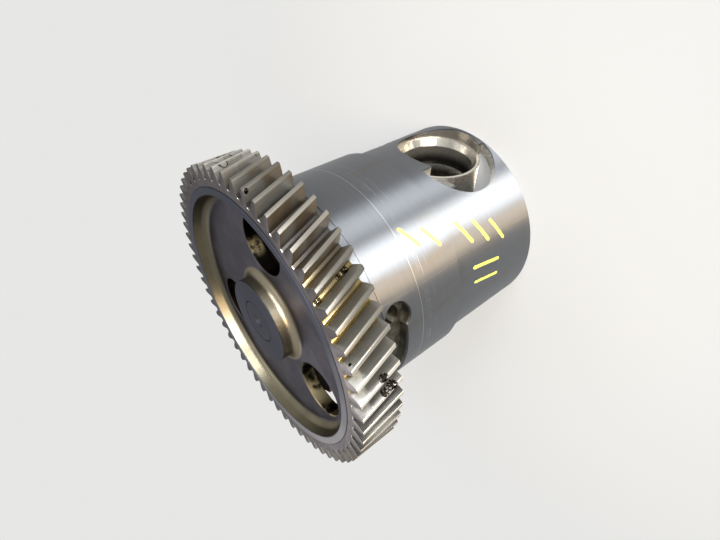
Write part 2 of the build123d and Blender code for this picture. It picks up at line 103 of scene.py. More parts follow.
class Graph:
    """A small writer for one material's node graph, with lengths in millimetres."""

    def __init__(self, name: str) -> None:
        """Starts a graph that knows the point and its three coordinates.

        Args:
            name: the material's name.
        """
        self.material = bpy.data.materials.new(name)
        self.material.use_nodes = True
        self.tree = self.material.node_tree
        self.tree.nodes.clear()
        self.output = self.node("OutputMaterial")
        self.shader = self.node("BsdfPrincipled")
        self.put(self.output.inputs[0], self.shader.outputs[0])
        scale = self.node("VectorMath")
        scale.operation = "SCALE"
        scale.inputs["Scale"].default_value = 1 / MM
        self.put(scale.inputs[0], self.node("TexCoord").outputs["Object"])
        self.place = scale.outputs[0]
        split = self.node("SeparateXYZ")
        self.put(split.inputs[0], self.place)
        self.x, self.y, self.z = split.outputs

    def node(self, kind: str) -> bpy.types.Node:
        """Returns a new shader node of a kind such as "Math"."""
        return self.tree.nodes.new(f"ShaderNode{kind}")

    def put(self, socket: Socket, value: object) -> None:
        """Links or sets one input.

        Args:
            socket: the input.
            value: a socket to link, a number or a colour.
        """
        if isinstance(value, Socket):
            self.tree.links.new(value, socket)
        elif isinstance(value, tuple) and socket.type == "RGBA":
            socket.default_value = (*value, 1.0)
        else:
            socket.default_value = value

    def give(self, name: str, value: object) -> None:
        """Links or sets one of the shader's inputs."""
        self.put(self.shader.inputs[name], value)

    def given(self, name: str) -> Socket:
        """Returns the socket that feeds one of the shader's inputs."""
        return self.shader.inputs[name].links[0].from_socket

    def math(self, kind: str, first: object, second: object = 0.0) -> Socket:
        """Returns the result of one Math node.

        Args:
            kind: the operation's name.
            first: a socket or a number.
            second: a socket or a number.

        Returns:
            The node's output.
        """
        node = self.node("Math")
        node.operation = kind
        self.put(node.inputs[0], first)
        self.put(node.inputs[1], second)
        return node.outputs[0]

    def plus(self, first: object, second: object) -> Socket:
        """Returns a sum."""
        return self.math("ADD", first, second)

    def minus(self, first: object, second: object) -> Socket:
        """Returns a difference."""
        return self.math("SUBTRACT", first, second)

    def times(self, first: object, second: object) -> Socket:
        """Returns a product. For two masks, it is the place that both cover."""
        return self.math("MULTIPLY", first, second)

    def hypot(self, first: Socket, second: Socket) -> Socket:
        """Returns the length of a vector with two coordinates."""
        return self.math("SQRT", self.plus(self.times(first, first), self.times(second, second)))

    def step(self, value: object, low: float, high: float, start: float = 0.0, end: float = 1.0) -> Socket:
        """Returns a smooth step of a value.

        Args:
            value: the socket that is read.
            low: where the step starts.
            high: where it ends.
            start: the result below low.
            end: the result above high.

        Returns:
            The stepped socket.
        """
        node = self.node("MapRange")
        node.interpolation_type = "SMOOTHSTEP"
        for socket, item in zip(node.inputs, (value, low, high, start, end)):
            self.put(socket, item)
        return node.outputs[0]

    def fade(self, value: object, low: float, high: float) -> Socket:
        """Returns 1 below the first limit and 0 above the second."""
        return self.step(value, low, high, 1.0, 0.0)

    def band(self, value: object, low: float, high: float, soft: float) -> Socket:
        """Returns 1 where a value lies between two limits, and 0 outside them.

        Args:
            value: the socket that is read.
            low: the lower limit.
            high: the upper limit.
            soft: how far the edge fades, on each side.

        Returns:
            The mask socket.
        """
        above = self.step(value, low - soft, low + soft)
        return self.times(above, self.fade(value, high - soft, high + soft))

    def held(self, value: object) -> Socket:
        """Returns a value held between 0 and 1.

        Args:
            value: the socket that is read.

        Returns:
            The held socket.
        """
        node = self.node("Clamp")
        self.put(node.inputs[0], value)
        return node.outputs[0]

    def curve(self, value: object, stops: Levels) -> Socket:
        """Returns a level that follows a value through a row of stops.

        Args:
            value: the socket that is read.
            stops: values in rising order, each with a level from 0 to 1.

        Returns:
            The level's socket.
        """
        low, high = stops[0][0], stops[-1][0]
        node = self.node("ValToRGB")
        ramp = node.color_ramp
        ramp.interpolation = "EASE"
        ramp.elements.remove(ramp.elements[1])
        for index, (place, level) in enumerate(stops):
            share = (place - low) / (high - low)
            element = ramp.elements.new(share) if index else ramp.elements[0]
            element.position = share
            element.color = (level, level, level, 1.0)
        self.put(node.inputs[0], self.math("DIVIDE", self.minus(value, low), high - low))
        return node.outputs[0]

    def noise(
        self, scale: float, detail: float = 3.0, rough: float = 0.55, seed: float = 0.0, place: object = None
    ) -> Socket:
        """Returns fractal noise from 0 to 1.

        Args:
            scale: patches for each millimetre.
            detail: how many octaves.
            rough: how strong the fine octaves are.
            seed: a fourth coordinate, which gives another pattern.
            place: the vector that is read, or None for the point itself.

        Returns:
            The noise socket.
        """
        node = self.node("TexNoise")
        node.noise_dimensions = "4D"
        self.put(node.inputs["Vector"], self.place if place is None else place)
        for name, number in (("W", seed), ("Scale", scale), ("Detail", detail), ("Roughness", rough)):
            node.inputs[name].default_value = number
        return node.outputs["Fac"]

    def patches(self, kind: Patches) -> Socket:
        """Returns the mask of soft random patches."""
        return self.step(self.noise(kind.scale, kind.detail, PATCH_ROUGHNESS, kind.seed), kind.low, kind.high)

    def lines(self, value: object, scale: float, detail: float = 4.0) -> Socket:
        """Returns noise along one number, such as turning lines along a radius.

        Args:
            value: the number that the lines are counted along.
            scale: lines for each millimetre.
            detail: how many octaves.

        Returns:
            The noise socket.
        """
        node = self.node("TexNoise")
        node.noise_dimensions = "1D"
        self.put(node.inputs["W"], value)
        for name, number in (("Scale", scale), ("Detail", detail), ("Roughness", LINE_ROUGHNESS)):
            node.inputs[name].default_value = number
        return node.outputs["Fac"]

    def mix(self, share: object, first: object, second: object) -> Socket:
        """Returns a mix of two colours.

        Args:
            share: how much of the second colour is taken.
            first: a colour or a socket.
            second: a colour or a socket.

        Returns:
            The mixed colour.
        """
        node = self.node("Mix")
        node.data_type = "RGBA"
        for index, value in ((0, share), (6, first), (7, second)):
            self.put(node.inputs[index], value)
        return node.outputs[2]

    def blend(self, share: object, first: object, second: object) -> Socket:
        """Returns a mix of two numbers.

        Args:
            share: how much of the second number is taken.
            first: a number or a socket.
            second: a number or a socket.

        Returns:
            The mixed number.
        """
        node = self.node("Mix")
        for index, value in ((0, share), (2, first), (3, second)):
            self.put(node.inputs[index], value)
        return node.outputs[0]

    def shade(self, level: object, colour: object) -> Socket:
        """Returns a colour that is darkened to a level from 0 to 1."""
        return self.mix(level, BLACK, colour)

    def either(self, masks: list[Socket]) -> Socket:
        """Returns the largest of several masks.

        Args:
            masks: one mask or more.

        Returns:
            The joined mask.
        """
        joined = masks[0]
        for mask in masks[1:]:
            joined = self.math("MAXIMUM", joined, mask)
        return joined

    def stretched(self, along: float) -> Socket:
        """Returns the point with its height squeezed, so that noise runs along the shaft.

        Args:
            along: the share of the height that is kept.

        Returns:
            The vector socket.
        """
        node = self.node("CombineXYZ")
        for socket, value in zip(node.inputs, (self.x, self.y, self.times(self.z, along))):
            self.put(socket, value)
        return node.outputs[0]

    def around(self, x: float = 0.0, y: float = 0.0) -> Socket:
        """Returns the distance from a line along Z through a point in millimetres."""
        return self.hypot(self.minus(self.x, x), self.minus(self.y, y))

    def turn(self) -> Socket:
        """Returns the angle about the shaft in degrees."""
        return self.times(self.math("ARCTAN2", self.y, self.x), 180 / math.pi)

    def near(self, centre: Point, inner: float, outer: float) -> Socket:
        """Returns 1 inside a ball and 0 outside it.

        Args:
            centre: the ball's centre in millimetres.
            inner: the radius up to which the result is 1.
            outer: the radius past which it is 0.

        Returns:
            The mask socket.
        """
        node = self.node("VectorMath")
        node.operation = "DISTANCE"
        self.put(node.inputs[0], self.place)
        node.inputs[1].default_value = centre
        return self.fade(node.outputs["Value"], inner, outer)

    def bump(self, height: object, depth: float, strength: float) -> None:
        """Gives the shader a bump.

        Args:
            height: the height socket, from 0 to 1.
            depth: the depth in millimetres of a height of 1.
            strength: how much of it shows.
        """
        node = self.node("Bump")
        node.inputs["Strength"].default_value = strength
        node.inputs["Distance"].default_value = depth * MM
        self.put(node.inputs["Height"], height)
        self.give("Normal", node.outputs[0])

    def turned(self, amount: float) -> None:
        """Stretches the shine across the turning lines.

        Args:
            amount: how strongly the shine is stretched.
        """
        node = self.node("Tangent")
        node.direction_type = "RADIAL"
        node.axis = "Z"
        self.give("Tangent", node.outputs[0])
        self.give("Anisotropic", amount)
        self.give("Anisotropic Rotation", QUARTER_TURN)


def scaled(colour: Colour, share: float) -> Colour:
    """Returns a colour times a number."""
    return tuple(share * part for part in colour)


@dataclass(frozen=True)
class PlainSteel:
    """A ground or turned finish with fine lines, a thin film of oil and, on a shaft's end, painted shade in
    the centre hole.
    """

    name: str
    colour: Colour = (0.34, 0.34, 0.35)
    oil: Colour = (0.20, 0.14, 0.07)
    film: float = 0.4
    film_patches: Patches = Patches(0.12, 0.4, 0.7)
    rough: float = 0.28
    smoother: float = 0.06
    rougher: float = 0.08
    line_scale: float = 5.0
    line_depth: float = 0.02
    line_strength: float = 0.5
    edge_tint: Colour = WHITE
    centre_shade_radius: float = 0.0
    centre_shade_soft: float = 0.1
    centre_shade_level: float = 0.1

    def make(self) -> bpy.types.Material:
        """Writes the finish.

        Returns:
            The material.
        """
        graph = Graph(self.name)
        radius = graph.around()
        lines = graph.lines(graph.plus(radius, graph.z), self.line_scale)
        tone = graph.mix(graph.times(graph.patches(self.film_patches), self.film), self.colour, self.oil)
        # Painted shade: a shaft end is darkened in its centre hole.
        if self.centre_shade_radius:
            low, high = self.centre_shade_radius - self.centre_shade_soft, self.centre_shade_radius + self.centre_shade_soft
            tone = graph.shade(graph.step(radius, low, high, self.centre_shade_level, 1.0), tone)
        graph.give("Base Color", tone)
        graph.give("Metallic", 1.0)
        graph.give("Roughness", graph.blend(lines, self.rough - self.smoother, self.rough + self.rougher))
        graph.give("Specular Tint", self.edge_tint)
        graph.bump(lines, self.line_depth, self.line_strength)
        return graph.material


@dataclass(frozen=True)
class PaintStroke:
    """A stroke of a paint pen on the round skin, with its ends as an angle about the shaft and a height."""

    start: Span
    end: Span
    half_width: float = 1.0
    edge: Span = (0.1, 0.5)
    wobble: float = 0.9

    def mask(self, graph: Graph, skin_radius: float) -> Socket:
        """Returns the stroke's mask.

        Args:
            graph: the material that is being written.
            skin_radius: the skin's radius in millimetres.

        Returns:
            The mask socket.
        """
        to_arc = math.pi / 180 * skin_radius
        run = ((self.end[0] - self.start[0]) * to_arc, self.end[1] - self.start[1])
        length = math.hypot(*run)
        across = graph.times(graph.minus(graph.turn(), self.start[0]), to_arc)
        along = graph.minus(graph.z, self.start[1])
        share = graph.plus(graph.times(across, run[0]), graph.times(along, run[1]))
        share = graph.held(graph.math("DIVIDE", share, length * length))
        off_across = graph.minus(across, graph.times(share, run[0]))
        off_along = graph.minus(along, graph.times(share, run[1]))
        wobble = graph.times(graph.noise(scale=0.5), self.wobble)
        distance = graph.plus(graph.hypot(off_across, off_along), wobble)
        return graph.fade(distance, self.half_width + self.edge[0], self.half_width + self.edge[1])


@dataclass(frozen=True)
class TurnedSkin:
    """The bright turned outside of a casting: fine turning lines, a dull patch here and there, scratches."""

    colour: Colour = (0.235, 0.245, 0.26)
    dark_share: float = 0.97
    worn: Colour = (0.225, 0.205, 0.175)
    worn_share: float = 0.55
    worn_stretch: float = 0.16
    rough: float = 0.46
    smoother: float = 0.03
    rougher: float = 0.05
    line_scale: float = 4.5
    line_height: float = 0.2
    scratch: Colour = (0.62, 0.64, 0.68)
    scratch_share: float = 0.8
    scratch_places: Patches = Patches(0.09, 0.50, 0.60, seed=7.0)
    scratch_heights: tuple[Span, ...] = ((82.0, 90.0),)
    axial_deg: Span = (-60.1, -59.9)
    axial_wander_deg: float = 1.4
    axial_share: float = 0.35
    axial_places: Patches = Patches(0.2, 0.35, 0.5, seed=3.0)

    def colours(self, graph: Graph) -> Socket:
        """Returns the skin's colour.

        Args:
            graph: the material that is being written.

        Returns:
            The colour socket.
        """
        coarse = graph.step(graph.lines(graph.z, scale=0.45, detail=2.0), low=0.35, high=0.65)
        tone = graph.mix(coarse, scaled(self.colour, self.dark_share), self.colour)
        dull = graph.noise(scale=0.10, detail=5.0, rough=0.65, place=graph.stretched(self.worn_stretch))
        dull = graph.times(graph.step(dull, low=0.50, high=0.72), self.worn_share)
        tone = graph.mix(dull, tone, self.worn)
        return graph.mix(graph.times(self.scratches(graph), self.scratch_share), tone, self.scratch)

    def scratches(self, graph: Graph) -> Socket:
        """Returns the mask of the bright scratches, round the skin and one along it.

        Args:
            graph: the material that is being written.

        Returns:
            The mask socket.
        """
        fine = graph.step(graph.lines(graph.z, scale=2.4, detail=3.0), low=0.60, high=0.66)
        bands = graph.either([graph.band(graph.z, low, high, soft=1.0) for low, high in self.scratch_heights])
        turned = graph.times(graph.times(fine, graph.patches(self.scratch_places)), bands)
        wander = graph.times(graph.lines(graph.z, scale=0.05, detail=1.0), self.axial_wander_deg)
        axial = graph.band(graph.plus(graph.turn(), wander), *self.axial_deg, soft=0.08)
        axial = graph.times(graph.times(axial, graph.patches(self.axial_places)), self.axial_share)
        return graph.either([turned, axial])


@dataclass(frozen=True)
class CastingFinish:
    """One casting: its turned skin, and the darker faces behind it, which are oily and darkened further as
    painted shade.
    """

    name: str
    skin_radius: float
    skin_depths: Span = (1.1, 0.8)
    skin: TurnedSkin = TurnedSkin()
    inside_oil_and_shade: Colour = (0.030, 0.027, 0.021)
    inside_light: Colour = (0.075, 0.068, 0.054)
    inside_patches: Patches = Patches(0.3, 0.35, 0.7, detail=6.0)
    inside_metal: float = 0.9
    inside_rough: float = 0.34
    face_scale: float = 3.0
    top_z: Span = (123.6, 123.9)
    oil: Colour = (0.42, 0.30, 0.10)
    oil_patches: Patches = Patches(0.10, 0.42, 0.58, seed=2.0)
    oil_rough: float = 0.16
    joint: Colour = (0.62, 0.63, 0.65)
    joint_z: Span = (91.44, 91.76)
    joint_share: float = 0.6
    bump_depth: float = 0.12
    bump_strength: float = 0.6
    strokes: tuple[PaintStroke, ...] = ()
    paint: Colour = (0.68, 0.66, 0.09)
    paint_rough: float = 0.45
    paint_patches: Patches = Patches(0.9, 0.30, 0.52, seed=5.0)
    paint_thin: float = 0.72

    def make(self) -> bpy.types.Material:
        """Returns the material."""
        return self.write().material

    def skin_edge(self) -> Span:
        """Returns the radii between which the turned skin begins."""
        return self.skin_radius - self.skin_depths[0], self.skin_radius - self.skin_depths[1]

    def write(self) -> Graph:
        """Writes the finish.

        Returns:
            The written graph.
        """
        graph = Graph(self.name)
        radius = graph.around()
        skin = graph.step(radius, *self.skin_edge())
        lines = graph.lines(graph.z, self.skin.line_scale)
        # The faces behind the skin are oily, and darkened further as painted shade of the recesses.
        cast = graph.mix(graph.patches(self.inside_patches), self.inside_oil_and_shade, self.inside_light)
        top = graph.step(graph.z, *self.top_z)
        wet = graph.times(top, graph.patches(self.oil_patches))
        cast = graph.mix(wet, cast, self.oil)
        # Painted highlight: a thin bright line round the skin where two castings meet.
        joint = graph.times(graph.band(graph.z, *self.joint_z, soft=0.06), self.joint_share)
        colour = graph.mix(skin, cast, graph.mix(joint, self.skin.colours(graph), self.joint))
        metal = graph.blend(skin, self.inside_metal, 1.0)
        shine = graph.blend(lines, self.skin.rough - self.skin.smoother, self.skin.rough + self.skin.rougher)
        rough = graph.blend(skin, graph.blend(wet, self.inside_rough, self.oil_rough), shine)
        grain = graph.noise(scale=1.2, detail=4.0, rough=0.6)
        behind = graph.blend(top, grain, graph.lines(radius, self.face_scale))
        height = graph.blend(skin, behind, graph.times(lines, self.skin.line_height))
        if self.strokes:
            marks = graph.either([stroke.mask(graph, self.skin_radius) for stroke in self.strokes])
            cover = graph.blend(graph.patches(self.paint_patches), self.paint_thin, 1.0)
            marks = graph.times(marks, graph.times(skin, cover))
            colour = graph.mix(marks, colour, self.paint)
            metal = graph.blend(marks, metal, 0.0)
            rough = graph.blend(marks, rough, self.paint_rough)
        graph.give("Base Color", colour)
        graph.give("Metallic", metal)
        graph.give("Roughness", rough)
        graph.bump(height, self.bump_depth, self.bump_strength)
        graph.turned(1.0)
        return graph


@dataclass(frozen=True)
class RearCasting(CastingFinish):
    """The rear housing: turned skin, machined port, rough cast window, rib and chamber."""

    port_z: float = 24.5
    port_radii: Span = (23.3, 23.5)
    port_x: Span = (35.5, 36.0)
    port_lines: float = 6.0
    port_rough: Span = (0.20, 0.28)
    machined: Colour = (0.52, 0.49, 0.43)
    stained: Colour = (0.27, 0.22, 0.16)
    stain_patches: Patches = Patches(0.12, 0.35, 0.65)
    stain_shares: Span = (0.15, 0.7)
    fine_share: float = 0.12
    ledge_x: Span = (46.8, 51.25)
    bright: Colour = (0.60, 0.58, 0.53)
    bright_share: float = 0.75
    bore_x: Span = (46.4, 47.0)
    dull: Colour = (0.30, 0.30, 0.28)
    dull_share: float = 0.55
    oily_x: Span = (38.5, 44.5)
    oily: Colour = (0.030, 0.027, 0.020)
    oily_share: float = 0.95
    window_x: Span = (30.0, 38.0)
    rough_cast: Colour = (0.52, 0.50, 0.45)
    pit_share: float = 0.5
    pits: Patches = Patches(1.1, 0.42, 0.62, seed=9.0, detail=6.0)
    cast_rough: float = 0.5

    def write(self) -> Graph:
        """Writes the finish of a casting, and over it the cast window and the machined port.

        Returns:
            The written graph.
        """
        graph = super().write()
        inner = graph.fade(graph.around(), *self.skin_edge())
        off_axis = graph.minus(graph.z, self.port_z)
        bored = graph.fade(graph.hypot(graph.y, off_axis), *self.port_radii)
        bored = graph.times(graph.times(bored, graph.step(graph.x, *self.port_x)), inner)
        turned = graph.times(graph.math("ARCTAN2", graph.y, off_axis), self.port_lines)
        streaks = graph.step(graph.lines(turned, scale=0.16, detail=2.0), low=0.46, high=0.60)
        fine = graph.step(graph.lines(turned, scale=1.1, detail=2.0), low=0.40, high=0.70)
        stain = graph.times(streaks, graph.blend(graph.patches(self.stain_patches), *self.stain_shares))
        stain = graph.plus(stain, graph.times(fine, self.fine_share))
        tone = graph.mix(stain, self.machined, self.stained)
        ledge = graph.times(graph.band(graph.x, *self.ledge_x, soft=0.3), self.bright_share)
        tone = graph.mix(ledge, tone, self.bright)
        tone = graph.mix(graph.times(graph.fade(graph.x, *self.bore_x), self.dull_share), tone, self.dull)
        tone = graph.mix(graph.step(graph.x, *self.oily_x, self.oily_share, 0.0), tone, self.oily)
        window = graph.times(inner, graph.step(graph.x, *self.window_x))
        cast = graph.mix(graph.patches(self.pits), self.rough_cast, scaled(self.rough_cast, self.pit_share))
        colour = graph.mix(window, graph.given("Base Color"), cast)
        graph.give("Base Color", graph.mix(bored, colour, tone))
        rough = graph.blend(window, graph.given("Roughness"), self.cast_rough)
        graph.give("Roughness", graph.blend(bored, rough, graph.blend(streaks, *self.port_rough)))
        return graph


@dataclass(frozen=True)
class GearSteel:
    """The drive gear: oily flanks, a polished ring, a grey web, golden oil in the roots, black grime, and
    painted light, shade and glints.

    Each row of levels is painted light and shade: it sets how light a face is at an angle about the shaft, in
    degrees.
    """

    name: str
    flank: Colour = (0.47, 0.455, 0.405)
    brown: Colour = (0.34, 0.265, 0.175)
    worn: Colour = (0.62, 0.61, 0.57)
    tip: Colour = (0.62, 0.585, 0.51)
    glint: Colour = (0.80, 0.80, 0.77)
    face: Colour = (0.37, 0.335, 0.335)
    ring: Colour = (0.47, 0.45, 0.46)
    ring_painted_shade: Colour = (0.095, 0.100, 0.122)
    groove: Colour = (0.05, 0.05, 0.055)
    wall: Colour = (0.23, 0.205, 0.145)
    web: Colour = (0.098, 0.092, 0.102)
    hub_side: Colour = (0.28, 0.245, 0.18)
    hub_face: Colour = (0.078, 0.080, 0.094)
    fit_line: Colour = (0.012, 0.012, 0.014)
    oil: Colour = (0.23, 0.180, 0.070)
    hole: Colour = (0.38, 0.32, 0.19)
    grime: Colour = (0.012, 0.010, 0.008)
    edge_tint: Colour = (0.45, 0.45, 0.47)
    flank_painted_shading: Levels = (
        (-180.0, 0.55), (-140.0, 0.60), (-120.0, 0.22), (-102.0, 0.04), (-92.0, 0.08), (-86.0, 0.11),
        (-82.0, 0.17), (-77.0, 0.38), (-70.0, 0.46), (-55.0, 0.50), (-40.0, 0.66), (-20.0, 0.46),
        (0.0, 0.40), (20.0, 0.48), (42.0, 0.20), (80.0, 0.50), (180.0, 0.55),
    )
    tip_painted_shading: Levels = (
        (-180.0, 0.24), (-140.0, 0.05), (-120.0, 0.04), (-108.0, 0.30), (-96.0, 0.85), (-84.0, 1.00),
        (-72.0, 1.00), (-60.0, 0.38), (-40.0, 0.19), (-20.0, 0.45), (0.0, 0.24), (20.0, 0.95),
        (40.0, 0.13), (80.0, 0.24), (180.0, 0.24),
    )
    face_painted_shading: Levels = (
        (-180.0, 0.42), (-150.0, 0.63), (-130.0, 0.88), (-90.0, 1.00), (-68.0, 0.95), (-52.0, 0.33),
        (-20.0, 0.42), (20.0, 0.48), (60.0, 0.41), (100.0, 0.31), (140.0, 0.23), (180.0, 0.42),
    )
    ring_painted_shading: Levels = (
        (-180.0, 0.35), (-150.0, 0.65), (-130.0, 0.95), (-108.0, 0.95), (-90.0, 0.55), (-70.0, 0.20),
        (-54.0, 0.00), (60.0, 0.00), (150.0, 0.15), (180.0, 0.35),
    )
    front_z: Span = (148.38, 148.46)
    tip_radii: Span = (82.0, 82.15)
    tooth_radii: Span = (74.75, 75.05)
    root_glint_radii: Span = (74.7, 75.2)
    root_glint_z: Span = (148.0, 148.3)
    root_radii: Span = (76.6, 79.0)
    root_wander: float = 2.6
    root_level: float = 0.45
    golden_deg: Span = (-76.0, -36.0)
    rim_radii: Span = (72.5, 72.7)
    groove_radii: Span = (71.53, 71.8)
    ring_radii: Span = (67.7, 71.55)
    dish_radii: Span = (62.7, 65.2)
    hub_radii: Span = (26.2, 27.6)
    fit_radii: Span = (11.5, 11.85)
    hole_radii: Span = (15.55, 15.8)
    hole_circle: float = 45.8
    holes: int = 3
    lower_y: Span = (-30.0, -20.0)
    tan_patches: Patches = Patches(0.07, 0.38, 0.52, seed=3.0)
    gold_highlight_patches: Patches = Patches(0.35, 0.38, 0.55, seed=8.0)
    gold_highlight_spot: Point = (36.2, 11.9, 137.6)
    gold_highlight_radii: Span = (1.5, 6.5)
    face_patches: Patches = Patches(0.4, 0.35, 0.7)
    face_share: float = 0.8
    web_patches: Patches = Patches(0.05, 0.40, 0.65, seed=4.0)
    web_share: float = 1.35
    wall_share: float = 0.2
    wall_painted_shade_deg: Span = (-30.0, 140.0)
    wall_painted_shade_share: float = 0.60
    wall_patches: Patches = Patches(0.05, 0.35, 0.7, seed=6.0, detail=1.0)
    wall_patch_share: float = 0.30
    film_deg: Span = (-46.0, 4.0)
    film_patches: Patches = Patches(0.07, 0.40, 0.60, seed=1.0, detail=1.0)
    contact_deg: Span = (9.0, 52.0)
    contact_worn: Span = (0.50, 0.51)
    contact_line: Span = (0.488, 0.50)
    brushed_level: float = 0.75
    flank_glint_deg: Span = (-81.0, -64.0)
    flank_glint_z: Span = (146.0, 149.5)
    flank_glint_wander: float = 9.0
    flank_glint_share: float = 0.85
    flank_metal: float = 0.8
    satin_patches: Patches = Patches(0.06, 0.35, 0.65, seed=6.0, detail=1.0)
    satin_rough: Span = (0.36, 0.30)
    turned_rough: Span = (0.30, 0.38)
    oil_rough: float = 0.20
    grime_rough: float = 0.24
    grime_height: float = 6.0
    line_scale: float = 3.5
    line_height: float = 0.4
    bump_depth: float = 0.06
    bump_strength: float = 0.5
    stretch: float = 0.3
    grime_patches: Patches = Patches(1.1, 0.40, 0.48, seed=11.0)
    grime_least: float = 0.2
    grime_radii: Span = (0.35, 1.15)
    grime_spots: tuple[tuple[Point, float], ...] = (
        ((57.9, -47.9, 130.4), 2.2),
        ((57.0, -48.8, 134.0), 1.8),
        ((54.3, -51.6, 146.4), 2.0),
        ((24.3, -78.2, 135.0), 2.6),
        ((20.8, -78.8, 133.2), 3.2),
        ((17.4, -79.5, 131.3), 3.0),
        ((11.5, -81.2, 128.4), 1.2),
        ((16.1, -79.5, 135.1), 2.4),
        ((35.9, -71.3, 146.8), 0.9),
        ((80.8, -7.8, 146.8), 1.5),
        ((77.0, -12.0, 147.6), 1.7),
        ((78.0, -4.5, 147.5), 2.0),
    )

    def make(self) -> bpy.types.Material:
        """Writes the finish.

        Returns:
            The material.
        """
        graph = Graph(self.name)
        radius = graph.around()
        front = graph.step(graph.z, *self.front_z)
        sides = graph.times(graph.step(radius, *self.tooth_radii), graph.minus(1.0, front))
        flanks, wet = self.flank_colours(graph, radius)
        colour = graph.mix(sides, self.turned_colours(graph, radius, front), flanks)
        grime = self.grime_mask(graph)
        lines = graph.lines(graph.plus(radius, graph.z), self.line_scale)
        satin = graph.blend(graph.patches(self.satin_patches), *self.satin_rough)
        satin = graph.blend(wet, satin, self.oil_rough)
        rough = graph.blend(sides, graph.blend(lines, *self.turned_rough), satin)
        graph.give("Base Color", graph.mix(grime, colour, self.grime))
        graph.give("Metallic", graph.blend(sides, 1.0, graph.blend(grime, self.flank_metal, 1.0)))
        graph.give("Roughness", graph.blend(grime, rough, self.grime_rough))
        graph.give("Specular Tint", self.edge_tint)
        lumps = graph.times(graph.times(grime, graph.noise(scale=2.2, rough=0.6)), self.grime_height)
        turned = graph.times(graph.times(lines, self.line_height), graph.minus(1.0, sides))
        graph.bump(graph.plus(turned, lumps), self.bump_depth, self.bump_strength)
        graph.turned(self.stretch)
        return graph.material

    def turned_colours(self, graph: Graph, radius: Socket, front: Socket) -> Socket:
        """Returns the colour of the turned faces: rim, ring, dish wall, web, holes and hub, with painted
        light and shade.

        Args:
            graph: the material that is being written.
            radius: the distance from the shaft.
            front: 1 on the front faces of the rim and the hub.

        Returns:
            The colour socket.
        """
        angle = graph.turn()
        colour = graph.mix(graph.patches(self.face_patches), self.face, scaled(self.face, self.face_share))
        # Painted light and shade on the front faces, by angle about the shaft.
        colour = graph.shade(graph.curve(angle, self.face_painted_shading), colour)
        # Painted shade darkens the dish wall over one range of angles; random patches darken it too.
        wall_shade = graph.times(graph.band(angle, *self.wall_painted_shade_deg, soft=20.0), self.wall_painted_shade_share)
        patchy = graph.times(graph.patches(self.wall_patches), self.wall_patch_share)
        wall = graph.mix(graph.either([wall_shade, patchy]), self.wall, scaled(self.wall, self.wall_share))
        below = graph.times(graph.minus(1.0, front), graph.fade(radius, *self.rim_radii))
        colour = graph.mix(below, colour, wall)
        stain = graph.mix(graph.patches(self.web_patches), self.web, scaled(self.web, self.web_share))
        colour = graph.mix(graph.fade(radius, *self.dish_radii), colour, stain)
        # Painted highlight and painted shade on the polished ring, by angle about the shaft.
        ring = graph.mix(graph.curve(angle, self.ring_painted_shading), self.ring_painted_shade, self.ring)
        polished = graph.band(radius, *self.ring_radii, soft=0.05)
        colour = graph.mix(polished, colour, graph.mix(front, wall, ring))
        colour = graph.mix(graph.band(radius, *self.groove_radii, soft=0.06), colour, self.groove)
        hub = graph.fade(radius, *self.hub_radii)
        colour = graph.mix(hub, colour, graph.mix(front, self.hub_side, self.hub_face))
        fit_line = graph.times(front, graph.band(radius, *self.fit_radii, soft=0.06))
        colour = graph.mix(fit_line, colour, self.fit_line)
        return graph.mix(self.hole_walls(graph), colour, self.hole_colours(graph))

    def hole_colours(self, graph: Graph) -> Socket:
        """Returns the colours on the oily walls of the web's holes: black as painted shade, tan painted light
        in the lower hole and a painted golden highlight.

        Args:
            graph: the material that is being written.

        Returns:
            The colour socket.
        """
        # Painted golden highlight near one point, tan painted light on the lower hole's wall, and black
        # painted shade elsewhere.
        gold_highlight = graph.times(graph.near(self.gold_highlight_spot, *self.gold_highlight_radii), graph.patches(self.gold_highlight_patches))
        lower = graph.fade(graph.y, *self.lower_y)
        return graph.mix(graph.blend(lower, gold_highlight, graph.patches(self.tan_patches)), self.grime, self.hole)

    def hole_walls(self, graph: Graph) -> Socket:
        """Returns the mask of the oily walls of the web's holes.

        Args:
            graph: the material that is being written.

        Returns:
            The mask socket.
        """
        walls = []
        for index in range(self.holes):
            turn = math.radians(360 / self.holes * index)
            away = graph.around(self.hole_circle * math.cos(turn), self.hole_circle * math.sin(turn))
            walls.append(graph.fade(away, *self.hole_radii))
        return graph.either(walls)

    def flank_colours(self, graph: Graph, radius: Socket) -> tuple[Socket, Socket]:
        """Returns the colour of the teeth with painted light, shade and glints, and where oil lies on them.

        Args:
            graph: the material that is being written.
            radius: the distance from the shaft.

        Returns:
            The colour socket and the oil's mask.
        """
        angle = graph.turn()
        film = graph.times(graph.band(angle, *self.film_deg, soft=12.0), graph.patches(self.film_patches))
        tone = graph.mix(film, self.flank, self.brown)
        contact = graph.noise(scale=0.15, detail=1.0, rough=0.4, seed=15.0)
        upper = graph.band(angle, *self.contact_deg, soft=3.0)
        tone = graph.mix(graph.times(upper, graph.step(contact, *self.contact_worn)), tone, self.worn)
        line = graph.band(contact, *self.contact_line, soft=0.004)
        tone = graph.mix(graph.times(upper, line), tone, self.grime)
        brushed = graph.lines(radius, scale=1.5, detail=3.0)
        brushed = graph.step(brushed, low=0.30, high=0.70, start=self.brushed_level)
        # Painted light and shade on the flanks by angle about the shaft, times the real brushed lines.
        tone = graph.shade(graph.times(graph.curve(angle, self.flank_painted_shading), brushed), tone)
